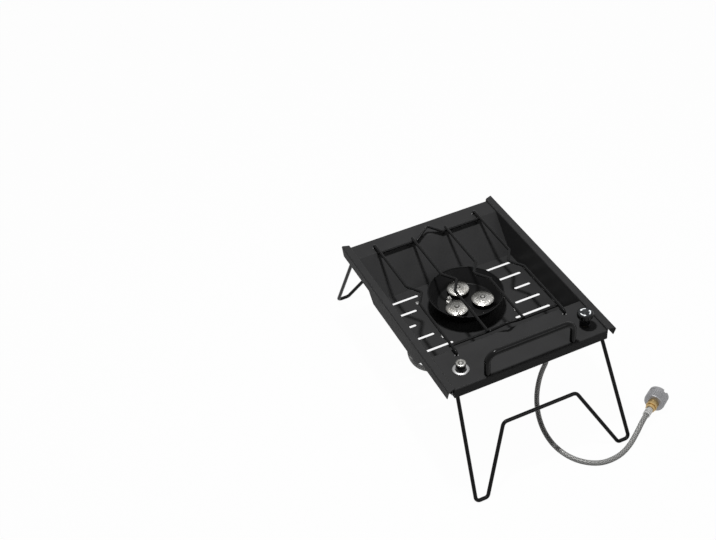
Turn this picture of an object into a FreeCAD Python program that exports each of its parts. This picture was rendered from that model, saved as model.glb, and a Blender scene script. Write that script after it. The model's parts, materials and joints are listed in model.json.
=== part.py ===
import FreeCAD, Part
import math
import os

# Butane cassette stove: a folded sheet tray on two folding wire legs, with a three-head burner
# in a cup, a wire pot grate, a push igniter, a valve knob and a braided supply hose.
# Millimetres. Origin on the floor under the middle of the tray, +X right, +Y to the rear, +Z up.

os.makedirs("parts", exist_ok=True)

Vec = FreeCAD.Vector
X_AXIS = Vec(1, 0, 0)
Y_AXIS = Vec(0, 1, 0)
Z_AXIS = Vec(0, 0, 1)

# Tray
deck_width = 250.0
deck_length = 360.0
front_deck = 73.0
rear_deck = 33.0
recess_depth = 56.5
wall_run = 50.0
sheet = 1.0
sheet_bend = 1.5
riser_height = 4.0
flange_width = 12.5
hook_drop = 17.0
flange_overhang = 4.0
hook_cut_back = 5.0
lip_height = 16.0
ear_depth = 18.0

# Legs
leg_wire = 5.8
leg_length = 174.6
leg_splay = 26.0
leg_to_lip = 0.15
pivot_drop = 9.0
leg_flare = 11.3
foot_width = 19.0
crossbar_along = 74.0
crossbar_half = 61.0
leg_bend = 6.0
crossbar_bend = 9.0
pin_past_ear = 4.0
pivot_clearance = 0.1
push_nut_radius = 5.4
push_nut_thickness = 1.2
push_nut_gap = 0.6

# Floor slots of the recess
slot_width = 5.0
slot_pitch = 30.0
slot_to_wall = 8.5
slot_inner = (55.0, 72.0, 88.0, 72.0, 55.0)

# Pot grate
grate_wire = 4.4
grate_half_width = 90.5
grate_inner_half = 30.0
grate_pin_on_deck = 12.5
cross_wire_in_recess = 6.5
cross_end = 2.0
wire_kink = 15.0
wire_kink_half = 22.0
cross_kink_out = 9.5
cross_kink_up = 13.0
cross_kink_half = 23.0
grate_bend = 4.5
kink_bend = 5.0
grate_pin_depth = 8.0
grate_hole_clearance = 0.5
inner_wire_past = 4.0
weld_sink = 0.3
grate_rest_gap = 0.05

# Burner
cup_rim_drop = 24.0
cup_depth = 24.0
cup_sheet = 0.8
cup_floor_radius = 45.0
cup_rim_radius = 60.0
cup_bead = 1.0
cup_bend = 4.0
head_circle = 26.3
stem_radius = 6.0
stem_bore = 4.0
hole_clearance = 0.3
head_flange_radius = 10.0
head_flange_thickness = 2.0
head_neck_rim = 1.5
head_wall = 1.6
head_radius = 16.6
head_height = 8.0
cap_radius = 17.6
cap_thickness = 1.4
cap_edge_round = 0.6
cap_spigot_depth = 1.0
cap_dome = 3.2
cap_boss_radius = 3.0
cap_boss_height = 0.9
port_count = 24
port_width = 1.0
port_depth = 2.6
port_height = 0.7
spacer_radius = 9.0
bracket_sheet = 1.5
bracket_arm = 15.0
bracket_hub = 39.0
bracket_screw_x = 64.0
bracket_screw_y = 43.5
screw_radius = 1.75
screw_head_radius = 3.5
screw_head_height = 2.0
screw_reach = 5.0
manifold_height = 15.0
manifold_arm = 16.0
manifold_boss = 10.0
manifold_bore = 4.0
manifold_inlet = 28.0
stem_in_manifold = 10.0
manifold_hub = 10.4
mixing_radius = 7.0
mixing_wall = 1.8
mixing_length = 30.0
mixing_spigot = 6.0
mixing_spigot_radius = 6.5
mixing_front_wall = 3.0
air_hole_radius = 2.6
air_hole_from_jet = 9.0
jet_hex = 12.0
jet_length = 14.0
jet_bore = 1.0
jet_nose = 4.0

# Electrode
electrode_radius = 2.6
electrode_collar = 4.2
electrode_collar_height = 2.5
electrode_below = 9.0
electrode_above = 11.0
electrode_rod_radius = 0.8
electrode_rod_below = 3.0
electrode_rod_above = 2.6
electrode_reach = 8.0
electrode_bend = 1.6

# Valve and knob
valve_from_side = 22.3
valve_from_front = 26.0
valve_radius = 10.0
valve_height = 30.0
valve_neck = 6.0
valve_port_drop = 24.0
valve_inlet_length = 7.0
valve_inlet_radius = 6.0
valve_outlet_length = 6.0
valve_outlet_radius = 5.0
valve_outlet_bore = 2.0
valve_chamber = 4.0
valve_nut_hex = 15.0
valve_nut_height = 3.0
stem_clearance = 0.05
valve_stem_radius = 2.4
knob_lift = 4.0
knob_height = 22.0
knob_base_radius = 7.6
knob_top_radius = 11.9
knob_edge_round = 1.0
knob_flutes = 14
knob_flute_radius = 1.6
knob_disc_radius = 9.9
knob_disc_thickness = 1.0
knob_disc_gap = 0.1
knob_wall_above_stem = 6.0

# Igniter
igniter_from_side = 26.0
igniter_from_front = 31.5
barrel_radius = 9.0
barrel_depth = 37.0
barrel_above = 1.5
barrel_base = 6.0
bezel_rim = 3.7
bezel_height = 2.6
button_radius = 7.4
button_clearance = 0.05
button_top = 11.5
button_bottom = -18.0
button_travel = 6.0
cap_overhang = 0.3
button_cap_height = 3.1
button_cap_chamfer = 0.8
button_cap_dish = 0.3
igniter_nut_rim = 3.5
igniter_nut_height = 4.0
spring_radius = 6.0
spring_wire = 1.0
terminal_length = 5.0
terminal_radius = 2.0

# Handle
handle_bar = 9.2
handle_half = 70.3
handle_from_front = 6.5
handle_top = 37.0
handle_bend = 15.0
handle_screw_radius = 2.0
handle_screw_head = 3.6
handle_screw_head_height = 2.5
handle_screw_depth = 12.0
washer_radius = 4.4
washer_thickness = 0.8

# Tubes and lead
supply_radius = 3.0
supply_wall = 0.8
supply_nut_hex = 11.0
supply_nut_length = 8.5
lead_radius = 1.25

# Hose and its connector
hose_radius = 4.0
hose_floor = hose_radius + 0.05
ferrule_radius = 5.6
ferrule_length = 16.0
crimp_width = 1.5
crimp_depth = 0.6
hose_bore = 2.5
hose_nut_hex = 15.0
hose_nut_length = 11.0
collar_radius = 16.0
collar_length = 22.0
collar_bore = 12.5
collar_bore_depth = 14.0
notch_depth = 4.0
notch_width = 6.0
connector_body_radius = 8.5
connector_body_length = 14.0
connector_neck_length = 5.0
connector_neck_radius = 7.0
connector_ferrule_length = 14.0
connector_heading = 32.0
nozzle_radius = 3.0
nozzle_bore = 1.5
nozzle_length = 9.0
seal_radius = 5.5
seal_thickness = 2.0

# Places worked out from the sizes above
leg_ear_gap = leg_wire / 2 + pivot_clearance
splay = math.radians(leg_splay)
lip_past_pivot = (lip_height - pivot_drop) * math.sin(splay)
pivot_inset = sheet + (leg_wire / 2 + leg_to_lip + lip_past_pivot) / math.cos(splay)
pivot_z = leg_wire / 2 + leg_length * math.cos(splay)
pivot_y = deck_length / 2 - pivot_inset
deck = pivot_z + pivot_drop
half_width = deck_width / 2
half_length = deck_length / 2
recess_front = -half_length + front_deck
recess_back = half_length - rear_deck
recess_mid = (recess_front + recess_back) / 2
recess_half = (recess_back - recess_front) / 2
recess_floor = deck - recess_depth
slot_outer = half_width - slot_to_wall
grate_half_length = recess_half + grate_pin_on_deck
cross_half_length = recess_half - cross_wire_in_recess
valve_x = half_width - valve_from_side
valve_y = -half_length + valve_from_front
igniter_x = igniter_from_side - half_width
igniter_y = -half_length + igniter_from_front
handle_y = -half_length + handle_from_front
floor_underside = recess_floor - sheet
hook_x = half_width + flange_width
cup_rim = deck - cup_rim_drop
cup_floor = cup_rim - cup_depth
bracket_bottom = floor_underside - bracket_sheet
manifold_bottom = bracket_bottom - manifold_height
manifold_axis = bracket_bottom - manifold_height / 2
cross_z = deck + grate_wire / 2 + grate_rest_gap
long_z = cross_z + grate_wire - weld_sink
head_angles = {"rear": 90.0, "left": 210.0, "right": 330.0}
electrode_x = head_circle * math.cos(math.radians(150.0))
electrode_y = recess_mid + head_circle * math.sin(math.radians(150.0))
bracket_screws = [
    (sx * bracket_screw_x, recess_mid + sy * bracket_screw_y) for sx in (-1, 1) for sy in (-1, 1)
]
handle_posts = [(-handle_half, handle_y), (handle_half, handle_y)]
grate_holes = [
    (sx * grate_half_width, recess_mid + sy * grate_half_length) for sx in (-1, 1) for sy in (-1, 1)
]


def head_centre(name):
    angle = math.radians(head_angles[name])
    return head_circle * math.cos(angle), recess_mid + head_circle * math.sin(angle)


def save(name, shape):
    solids = shape.Solids
    out = solids[0] if len(solids) == 1 else Part.makeCompound(solids)
    if not out.isValid():
        print("not valid:", name)
    out.exportStep("parts/" + name + ".step")
    print(name, len(solids), "solids,", round(out.Volume), "mm3")


def block(x0, x1, y0, y1, z0, z1):
    return Part.makeBox(x1 - x0, y1 - y0, z1 - z0, Vec(x0, y0, z0))


def post(x, y, z0, z1, radius):
    return Part.makeCylinder(radius, z1 - z0, Vec(x, y, z0), Z_AXIS)


def rod(start, end, radius):
    line = Vec(*end) - Vec(*start)
    return Part.makeCylinder(radius, line.Length, Vec(*start), line)


def hexagon(across, base, axis, length):
    """A hexagonal prism, across flats, along an axis from its base point."""
    corners = []
    for k in range(7):
        angle = math.radians(60 * k)
        reach = across / 2 / math.cos(math.radians(30))
        corners.append(Vec(reach * math.cos(angle), reach * math.sin(angle), 0))
    prism = Part.Face(Part.makePolygon(corners)).extrude(Vec(0, 0, length))
    prism.Placement = FreeCAD.Placement(Vec(*base), FreeCAD.Rotation(Z_AXIS, axis))
    return prism


def turned(profile, x=0.0, y=0.0):
    """A solid of revolution about a vertical line, from (radius, height) points."""
    points = [Vec(r, 0, z) for r, z in profile]
    face = Part.Face(Part.makePolygon(points + points[:1]))
    solid = face.revolve(Vec(0, 0, 0), Z_AXIS, 360)
    solid.translate(Vec(x, y, 0))
    return solid


def rounded_path(points, radii):
    """The edges of a path through the points, with a tangent arc at each inner point."""
    points = [Vec(*p) for p in points]
    edges = []
    last = points[0]
    for k in range(1, len(points) - 1):
        before = (points[k] - points[k - 1]).normalize()
        after = (points[k + 1] - points[k]).normalize()
        turn = before.getAngle(after)
        radius = radii[k - 1]
        trim = radius * math.tan(turn / 2)
        start = points[k] - before * trim
        end = points[k] + after * trim
        inward = (after - before).normalize()
        centre = points[k] + inward * (radius / math.cos(turn / 2))
        middle = centre - inward * radius
        edges.append(Part.LineSegment(last, start).toShape())
        edges.append(Part.Arc(start, middle, end).toShape())
        last = end
    edges.append(Part.LineSegment(last, points[-1]).toShape())
    return edges


def tube(points, radii, radius, bore=0.0):
    """A round bar or tube along a path with tangent arcs."""
    if isinstance(radii, (int, float)):
        radii = [radii] * (len(points) - 2)
    path = Part.Wire(rounded_path(points, radii))
    first = Vec(*points[0])
    heading = Vec(*points[1]) - first
    outer = Part.Wire(Part.makeCircle(radius, first, heading))
    solid = path.makePipeShell([outer], True, False)
    if bore:
        inner = Part.Wire(Part.makeCircle(bore, first, heading))
        solid = solid.cut(path.makePipeShell([inner], True, False))
    expected = math.pi * (radius**2 - bore**2) * path.Length
    if abs(solid.Volume / expected - 1) > 0.01:
        print("tube volume is off:", solid.Volume / expected)
    return solid


def route_radii(points):
    """The largest arc that both runs at each point allow."""
    points = [Vec(*p) for p in points]
    radii = []
    for a, b, c in zip(points, points[1:], points[2:]):
        shorter = min((b - a).Length, (c - b).Length)
        radii.append(0.45 * shorter / math.tan((b - a).getAngle(c - b) / 2))
    return radii


def folded_strip(points, thickness, bend):
    """The outline of folded sheet in a plane, from its centre line's corner points (u, v)."""
    points = [Vec(u, v, 0) for u, v in points]
    sides = []
    for side in (0.5, -0.5):
        shift = side * thickness
        edges = []
        first = (points[1] - points[0]).normalize()
        last = points[0] + Z_AXIS.cross(first) * shift
        for k in range(1, len(points) - 1):
            before = (points[k] - points[k - 1]).normalize()
            after = (points[k + 1] - points[k]).normalize()
            turn = before.getAngle(after)
            left = 1 if Z_AXIS.dot(before.cross(after)) > 0 else -1
            trim = bend * math.tan(turn / 2)
            inward = (after - before).normalize()
            centre = points[k] + inward * (bend / math.cos(turn / 2))
            start = points[k] - before * trim + Z_AXIS.cross(before) * shift
            end = points[k] + after * trim + Z_AXIS.cross(after) * shift
            middle = centre - inward * (bend - left * shift)
            edges.append(Part.LineSegment(last, start).toShape())
            edges.append(Part.Arc(start, middle, end).toShape())
            last = end
        final = (points[-1] - points[-2]).normalize()
        tail = points[-1] + Z_AXIS.cross(final) * shift
        edges.append(Part.LineSegment(last, tail).toShape())
        sides.append(edges)
    caps = [
        Part.LineSegment(sides[0][k].Vertexes[k].Point, sides[1][k].Vertexes[k].Point).toShape()
        for k in (0, -1)
    ]
    edges = Part.__sortEdges__(sides[0] + sides[1] + caps)
    return Part.Wire(edges)


def along_x(outline, x0, x1):
    """Extrude an outline drawn in (y, z) along X."""
    face = Part.Face(outline)
    placed = FreeCAD.Matrix()
    placed.A11, placed.A12, placed.A13 = 0, 0, 1
    placed.A21, placed.A22, placed.A23 = 1, 0, 0
    placed.A31, placed.A32, placed.A33 = 0, 1, 0
    face = face.transformGeometry(placed)
    face.translate(Vec(x0, 0, 0))
    return face.extrude(Vec(x1 - x0, 0, 0))


def along_y(outline, y0, y1):
    """Extrude an outline drawn in (x, z) along Y."""
    face = Part.Face(outline)
    face.rotate(Vec(0, 0, 0), X_AXIS, 90)
    face.translate(Vec(0, y0, 0))
    return face.extrude(Vec(0, y1 - y0, 0))


def slot_cutter(x0, x1, y, z0, z1):
    half = slot_width / 2
    middle = block(x0 + half, x1 - half, y - half, y + half, z0, z1)
    return middle.fuse(post(x0 + half, y, z0, z1, half)).fuse(post(x1 - half, y, z0, z1, half))


def mirrored_x(shape):
    return shape.mirror(Vec(0, 0, 0), X_AXIS)


def mirrored_y(shape):
    return shape.mirror(Vec(0, 0, 0), Y_AXIS)


def tray():
    mid = deck - sheet / 2
    end = half_length - sheet / 2
    floor_mid = recess_floor - sheet / 2
    lip_end = deck - lip_height
    profile = [
        (-end, lip_end),
        (-end, mid),
        (recess_front, mid),
        (recess_front + wall_run, floor_mid),
        (recess_back - wall_run, floor_mid),
        (recess_back, mid),
        (end, mid),
        (end, lip_end),
    ]
    body = along_x(folded_strip(profile, sheet, sheet_bend), -half_width, half_width)
    side = half_width + sheet / 2
    rail = [
        (side, deck - sheet),
        (side, deck + riser_height - sheet / 2),
        (hook_x - sheet / 2, deck + riser_height - sheet / 2),
        (hook_x - sheet / 2, deck + riser_height - hook_drop),
    ]
    rail_end = half_length + flange_overhang
    flange = along_y(folded_strip(rail, sheet, sheet_bend), rail_end, -rail_end)
    flange = flange.cut([rail_end_cut(), mirrored_y(rail_end_cut())])
    wall_corners = [
        (recess_front, deck),
        (recess_front + wall_run, floor_underside),
        (recess_back - wall_run, floor_underside),
        (recess_back, deck),
        (recess_front, deck),
    ]
    outline = Part.makePolygon([Vec(y, z, 0) for y, z in wall_corners])
    wall = along_x(outline, half_width, half_width + sheet)
    ears = []
    for sign in (-1, 1):
        y0, y1 = sorted((sign * half_length, sign * (half_length - ear_depth)))
        ear = block(half_width, half_width + sheet, y0, y1, lip_end, deck)
        hole = leg_wire / 2 + pivot_clearance
        y = sign * pivot_y
        ears.append(ear.cut(rod((half_width - 1, y, pivot_z), (half_width + 5, y, pivot_z), hole)))
    right = flange.fuse([wall] + ears)
    body = body.fuse([right, mirrored_x(right)])
    cutters = []
    for x, y in grate_holes:
        radius = grate_wire / 2 + grate_hole_clearance
        cutters.append(post(x, y, deck - 2 * sheet, deck + sheet, radius))
    for x, y in handle_posts:
        radius = handle_screw_radius + hole_clearance
        cutters.append(post(x, y, deck - 2 * sheet, deck + sheet, radius))
    top = (deck - 2 * sheet, deck + sheet)
    cutters.append(post(valve_x, valve_y, *top, valve_neck + hole_clearance))
    cutters.append(post(igniter_x, igniter_y, *top, barrel_radius + hole_clearance))
    below = (recess_floor - 2 * sheet, recess_floor + sheet)
    for row, inner in enumerate(slot_inner):
        y = recess_mid + (row - 2) * slot_pitch
        cutters.append(slot_cutter(inner, slot_outer, y, *below))
        cutters.append(slot_cutter(-slot_outer, -inner, y, *below))
    cutters += floor_holes(*below)
    return body.cut(cutters).removeSplitter()


def rail_end_cut():
    """The slant at the front end of the side flange: its edge runs out to the fold, and the
    hook's end runs back from there."""
    y = -half_length
    top = deck + riser_height
    over_fold = [
        (half_width, y),
        (hook_x - sheet_bend, y - flange_overhang),
        (hook_x - sheet_bend, y - 2 * flange_overhang),
        (half_width - sheet, y - 2 * flange_overhang),
        (half_width - sheet, y),
        (half_width, y),
    ]
    slant = Part.Face(Part.makePolygon([Vec(u, v, deck - 2 * sheet) for u, v in over_fold]))
    slant = slant.extrude(Vec(0, 0, riser_height + 3 * sheet))
    down_hook = [
        (y - flange_overhang, top - sheet_bend),
        (y - flange_overhang + hook_cut_back, top - hook_drop),
        (y - flange_overhang + hook_cut_back, top - hook_drop - sheet),
        (y - 2 * flange_overhang, top - hook_drop - sheet),
        (y - 2 * flange_overhang, top - sheet_bend),
        (y - flange_overhang, top - sheet_bend),
    ]
    corner = Part.makePolygon([Vec(u, v, 0) for u, v in down_hook])
    return slant.fuse(along_x(corner, hook_x - 2 * sheet, hook_x + sheet))


def floor_holes(z0, z1):
    """The holes that the burner's stems, electrode and screws share through the sheets."""
    holes = stem_holes(z0, z1)
    for x, y in bracket_screws:
        holes.append(post(x, y, z0, z1, screw_radius + hole_clearance / 2))
    return holes


def stem_holes(z0, z1):
    holes = []
    for name in head_angles:
        x, y = head_centre(name)
        holes.append(post(x, y, z0, z1, stem_radius + hole_clearance))
    holes.append(post(electrode_x, electrode_y, z0, z1, electrode_radius + hole_clearance))
    return holes


def leg_point(x, along):
    """A point of the front leg, from its pivot line, along its slope."""
    return (x, -pivot_y - along * math.sin(splay), pivot_z - along * math.cos(splay))


def front_leg():
    top_x = half_width - leg_ear_gap - leg_wire / 2
    foot_outer = top_x + leg_flare
    foot_inner = foot_outer - foot_width
    pin_end = half_width + sheet + pin_past_ear
    half = [
        (pin_end, 0),
        (top_x, 0),
        (foot_outer, leg_length),
        (foot_inner, leg_length),
        (crossbar_half, crossbar_along),
    ]
    points = [leg_point(x, s) for x, s in half]
    points += [leg_point(-x, s) for x, s in reversed(half)]
    radii = [leg_wire, leg_bend, leg_bend, crossbar_bend]
    return tube(points, radii + radii[::-1], leg_wire / 2)


def front_leg_push_nuts():
    inner = half_width + sheet + push_nut_gap
    outer = inner + push_nut_thickness
    ring = rod((inner, -pivot_y, pivot_z), (outer, -pivot_y, pivot_z), push_nut_radius)
    ring = ring.cut(rod((inner, -pivot_y, pivot_z), (outer, -pivot_y, pivot_z), leg_wire / 2))
    return ring.fuse(mirrored_x(ring))


def long_wire(x, to_centre, ends):
    """A fore-and-aft wire with its kink towards the centre, mirrored for the other side."""
    z = long_z
    kink = [
        (x, recess_mid - wire_kink_half, z),
        (x - to_centre * wire_kink, recess_mid, z),
        (x, recess_mid + wire_kink_half, z),
    ]
    if ends == "pins":
        low = deck - grate_pin_depth
        y = grate_half_length
        points = [(x, recess_mid - y, low), (x, recess_mid - y, z)] + kink
        points += [(x, recess_mid + y, z), (x, recess_mid + y, low)]
        radii = [grate_bend, kink_bend, kink_bend, kink_bend, grate_bend]
    else:
        y = cross_half_length + inner_wire_past
        points = [(x, recess_mid - y, z)] + kink + [(x, recess_mid + y, z)]
        radii = [kink_bend] * 3
    return tube(points, radii, grate_wire / 2)


def rear_cross_wire(long_wires):
    y = recess_mid + cross_half_length
    reach = grate_half_width + cross_end
    points = [
        (-reach, y, cross_z),
        (-cross_kink_half, y, cross_z),
        (0, y + cross_kink_out, cross_z + cross_kink_up),
        (cross_kink_half, y, cross_z),
        (reach, y, cross_z),
    ]
    wire = tube(points, kink_bend, grate_wire / 2)
    return wire.cut(long_wires)


def burner_cup():
    mid = cup_floor - cup_sheet / 2
    rim = cup_rim_radius - cup_bead
    # The bowl's outline starts a little off the axis and its floor is closed with a disc.
    start = cup_floor_radius / 2
    middle = [(start, mid), (cup_floor_radius, mid), (rim, cup_rim - cup_bead)]
    outline = folded_strip(middle, cup_sheet, cup_bend)
    face = Part.Face(outline)
    face.rotate(Vec(0, 0, 0), X_AXIS, 90)
    bowl = face.revolve(Vec(0, 0, 0), Z_AXIS, 360)
    floor = post(0, 0, cup_floor - cup_sheet, cup_floor, start)
    bead = Part.makeTorus(rim, cup_bead, Vec(0, 0, cup_rim - cup_bead), Z_AXIS)
    cup = bowl.fuse([floor, bead])
    cup.translate(Vec(0, recess_mid, 0))
    return cup.cut(stem_holes(cup_floor - 2, cup_floor + 1)).removeSplitter()


def burner_bracket():
    z0, z1 = bracket_bottom, floor_underside
    plate = post(0, recess_mid, z0, z1, bracket_hub)
    for x, y in bracket_screws:
        reach = math.hypot(x, y - recess_mid)
        arm = block(0, reach, -bracket_arm / 2, bracket_arm / 2, z0, z1)
        angle = math.degrees(math.atan2(y - recess_mid, x))
        arm.rotate(Vec(0, 0, 0), Z_AXIS, angle)
        arm.translate(Vec(0, recess_mid, 0))
        plate = plate.fuse([arm, post(x, y, z0, z1, bracket_arm / 2)])
    holes = stem_holes(z0 - 1, z1 + 1)
    for x, y in bracket_screws:
        holes.append(post(x, y, z0 - 1, z1 + 1, screw_radius))
    return plate.removeSplitter().cut(holes)


def pan_screw(x, y, seat, radius, head_radius, head_height, reach, up=True):
    """A pan head screw with a cross recess, its head above or below its seat."""
    sign = 1 if up else -1
    head = turned(
        [
            (0, seat),
            (head_radius, seat),
            (head_radius, seat + sign * head_height * 0.4),
            (head_radius * 0.75, seat + sign * head_height * 0.85),
            (0, seat + sign * head_height),
        ],
        x,
        y,
    )
    shank_z = sorted((seat, seat - sign * reach))
    screw = head.fuse(post(x, y, *shank_z, radius))
    deep = sorted((seat + sign * head_height * 0.45, seat + sign * (head_height + 1)))
    long, short = head_radius * 0.6, head_radius * 0.14
    screw = screw.cut(block(x - long, x + long, y - short, y + short, *deep))
    return screw.cut(block(x - short, x + short, y - long, y + long, *deep))


def group(shapes):
    return Part.makeCompound([solid for shape in shapes for solid in shape.Solids])


def bracket_screw_set():
    reach = sheet + bracket_sheet + screw_reach
    sizes = (screw_radius, screw_head_radius, screw_head_height, reach)
    return group([pan_screw(x, y, recess_floor, *sizes) for x, y in bracket_screws])


def burner_spacers():
    rings = []
    for name in head_angles:
        x, y = head_centre(name)
        ring = post(x, y, recess_floor, cup_floor - cup_sheet, spacer_radius)
        rings.append(ring.cut(post(x, y, recess_floor, cup_floor, stem_radius)))
    return group(rings)


def burner_head(name):
    """A burner body: a threaded stem, a flange on the cup's floor and a flared mixing cup."""
    x, y = head_centre(name)
    z = cup_floor
    flange = z + head_flange_thickness
    neck = flange + head_neck_rim
    flare = z + head_height - head_flange_thickness
    rim = z + head_height
    bottom = bracket_bottom - stem_in_manifold
    profile = [
        (stem_bore, bottom),
        (stem_radius, bottom),
        (stem_radius, z),
        (head_flange_radius, z),
        (head_flange_radius, flange),
        (stem_radius + head_neck_rim, flange),
        (stem_radius + head_neck_rim, neck),
        (head_radius, flare),
        (head_radius, rim),
        (head_radius - head_wall, rim),
        (head_radius - head_wall, flare + head_wall / 3),
        (stem_bore, neck + head_wall / 2),
    ]
    return turned(profile, x, y)


def burner_cap(name):
    """A domed burner cap with radial flame ports cut under its edge."""
    x, y = head_centre(name)
    seat = cup_floor + head_height
    edge = seat + cap_thickness
    spigot = head_radius - head_wall - hole_clearance
    boss = cap_boss_radius
    hollow = boss / 2
    domed = cap_radius - cap_edge_round
    profile = [
        (0, seat - cap_spigot_depth),
        (spigot, seat - cap_spigot_depth),
        (spigot, seat),
        (cap_radius, seat),
        (cap_radius, edge - cap_edge_round),
        (domed, edge),
    ]
    # The dome is an ellipse from the edge up to the boss.
    for degrees in range(15, 75, 12):
        angle = math.radians(degrees)
        profile.append((domed * math.cos(angle), edge + cap_dome * math.sin(angle)))
    crest = edge + cap_dome
    profile += [
        (boss + cap_edge_round, crest),
        (boss, crest + cap_boss_height),
        (hollow, crest + cap_boss_height),
        (hollow, crest),
        (0, crest),
    ]
    cap = turned(profile)
    half = port_width / 2
    ports = []
    for k in range(port_count):
        reach = (cap_radius - port_depth, cap_radius + 1)
        port = block(*reach, -half, half, seat - cap_spigot_depth / 2, seat + port_height)
        port.rotate(Vec(0, 0, 0), Z_AXIS, 360.0 * k / port_count)
        ports.append(port)
    cap = cap.cut(ports)
    cap.translate(Vec(x, y, 0))
    return cap


def burner_manifold():
    """A cast spider: three arms to the stems and one to the mixing tube, bored through."""
    z0, z1 = manifold_bottom, bracket_bottom
    arms = []
    bores = []
    for name, angle in list(head_angles.items()) + [("inlet", 270.0)]:
        reach = manifold_inlet if name == "inlet" else head_circle
        arm = block(0, reach, -manifold_arm / 2, manifold_arm / 2, z0, z1)
        bore = rod((0, 0, manifold_axis), (reach, 0, manifold_axis), manifold_bore)
        for piece in (arm, bore):
            piece.rotate(Vec(0, 0, 0), Z_AXIS, angle)
            piece.translate(Vec(0, recess_mid, 0))
        arms.append(arm)
        bores.append(bore)
    body = post(0, recess_mid, z0, z1, manifold_hub).fuse(arms)
    for name in head_angles:
        x, y = head_centre(name)
        body = body.fuse(post(x, y, z0, z1, manifold_boss))
        bores.append(post(x, y, z1 - stem_in_manifold, z1 + 1, stem_radius))
    socket = recess_mid - manifold_inlet
    ends = ((0, socket - 1, manifold_axis), (0, socket + mixing_spigot, manifold_axis))
    bores.append(rod(*ends, mixing_spigot_radius))
    return body.cut(bores).removeSplitter()


def mixing_tube():
    """The air and gas mixing tube, with its air holes near the jet."""
    back = recess_mid - manifold_inlet
    front = back - mixing_length
    z = manifold_axis
    end = back + mixing_spigot
    body = rod((0, front, z), (0, back, z), mixing_radius)
    body = body.fuse(rod((0, back - 1, z), (0, end, z), mixing_spigot_radius))
    bore = mixing_radius - mixing_wall
    body = body.cut(rod((0, front + mixing_front_wall, z), (0, end, z), bore))
    body = body.cut(rod((0, front - 1, z), (0, front + jet_nose, z), jet_hex / 4))
    air = front + air_hole_from_jet
    holes = []
    for k in range(4):
        drill = rod((0, air, z), (0, air, z + 2 * mixing_radius), air_hole_radius)
        drill.rotate(Vec(0, air, z), Y_AXIS, 45 + 90 * k)
        holes.append(drill)
    return body.cut(holes).removeSplitter()


def jet_front():
    return recess_mid - manifold_inlet - mixing_length


def gas_jet():
    """The brass jet holder: a hexagon with a nose in the mixing tube and a bored passage."""
    y = jet_front()
    z = manifold_axis
    body = hexagon(jet_hex, (0, y - jet_length, z), Y_AXIS, jet_length)
    nose = rod((0, y, z), (0, y + jet_nose, z), jet_hex / 4)
    passage = rod((0, y - jet_length - 1, z), (0, y + jet_nose + 1, z), jet_bore)
    return body.fuse(nose).cut(passage).removeSplitter()


def electrode_insulator():
    x, y = electrode_x, electrode_y
    low = floor_underside - electrode_below
    high = cup_floor + electrode_above
    profile = [
        (electrode_rod_radius, low),
        (electrode_radius, low),
        (electrode_radius, cup_floor),
        (electrode_collar, cup_floor),
        (electrode_collar, cup_floor + electrode_collar_height),
        (electrode_radius, cup_floor + electrode_collar_height + 1),
        (electrode_radius, high - 1),
        (electrode_radius * 0.7, high),
        (electrode_rod_radius, high),
    ]
    return turned(profile, x, y)


def electrode_rod():
    """The spark wire, bent over the edge of the left head."""
    x, y = electrode_x, electrode_y
    low = floor_underside - electrode_below - electrode_rod_below
    top = cup_floor + electrode_above + electrode_rod_above
    points = [(x, y, low), (x, y, top), (x, y - electrode_reach, top - 1.0)]
    return tube(points, electrode_bend, electrode_rod_radius)


def valve_body():
    x, y = valve_x, valve_y
    under = deck - sheet
    port = deck - valve_port_drop
    body = post(x, y, under - valve_height, under, valve_radius)
    body = body.fuse(post(x, y, under, deck + knob_lift - 0.5, valve_neck))
    inlet_end = x - valve_radius - valve_inlet_length
    outlet_end = y + valve_radius + valve_outlet_length
    body = body.fuse(rod((x, y, port), (inlet_end, y, port), valve_inlet_radius))
    body = body.fuse(rod((x, y, port), (x, outlet_end, port), valve_outlet_radius))
    bores = [
        rod((x, y, port), (inlet_end - 1, y, port), hose_bore),
        rod((x, y, port), (x, outlet_end + 1, port), valve_outlet_bore),
        post(x, y, port - valve_chamber, deck + knob_lift, valve_stem_radius + stem_clearance),
    ]
    return body.cut(bores).removeSplitter()


def valve_nut():
    nut = hexagon(valve_nut_hex, (valve_x, valve_y, deck), Z_AXIS, valve_nut_height)
    return nut.cut(post(valve_x, valve_y, deck - 1, deck + 10, valve_neck))


def valve_stem():
    low = deck - valve_port_drop - valve_chamber + 0.5
    high = deck + knob_lift + knob_height - knob_wall_above_stem
    return post(valve_x, valve_y, low, high, valve_stem_radius)


def knob():
    """A tapered fluted knob with a recess for its top disc."""
    low = deck + knob_lift
    top = low + knob_height
    edge = knob_edge_round
    waist = low + knob_height * 0.35
    shoulder = low + knob_height * 0.68
    profile = [
        (0, low),
        (knob_base_radius - edge / 2, low),
        (knob_base_radius, low + edge / 2),
        (knob_base_radius, waist),
        (knob_base_radius + edge, waist + 2 * edge),
        (knob_top_radius, shoulder),
        (knob_top_radius, top - 2 * edge),
        (knob_top_radius - edge / 3, top - edge),
        (knob_top_radius - edge, top),
        (0, top),
    ]
    body = turned(profile)
    cuts = [post(0, 0, top - knob_disc_thickness, top + 1, knob_disc_radius + knob_disc_gap)]
    stem_top = deck + knob_lift + knob_height - knob_wall_above_stem
    cuts.append(post(0, 0, low - 1, stem_top, valve_stem_radius))
    for k in range(knob_flutes):
        angle = 2 * math.pi * k / knob_flutes
        reach = knob_top_radius + knob_flute_radius * 0.45
        flute_top = top - 3 * edge
        flute = post(reach, 0, waist, flute_top, knob_flute_radius)
        flute = flute.fuse(Part.makeSphere(knob_flute_radius, Vec(reach, 0, flute_top)))
        flute.rotate(Vec(0, 0, 0), Z_AXIS, math.degrees(angle))
        cuts.append(flute)
    body = body.cut(cuts)
    body.translate(Vec(valve_x, valve_y, 0))
    return body


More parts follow.
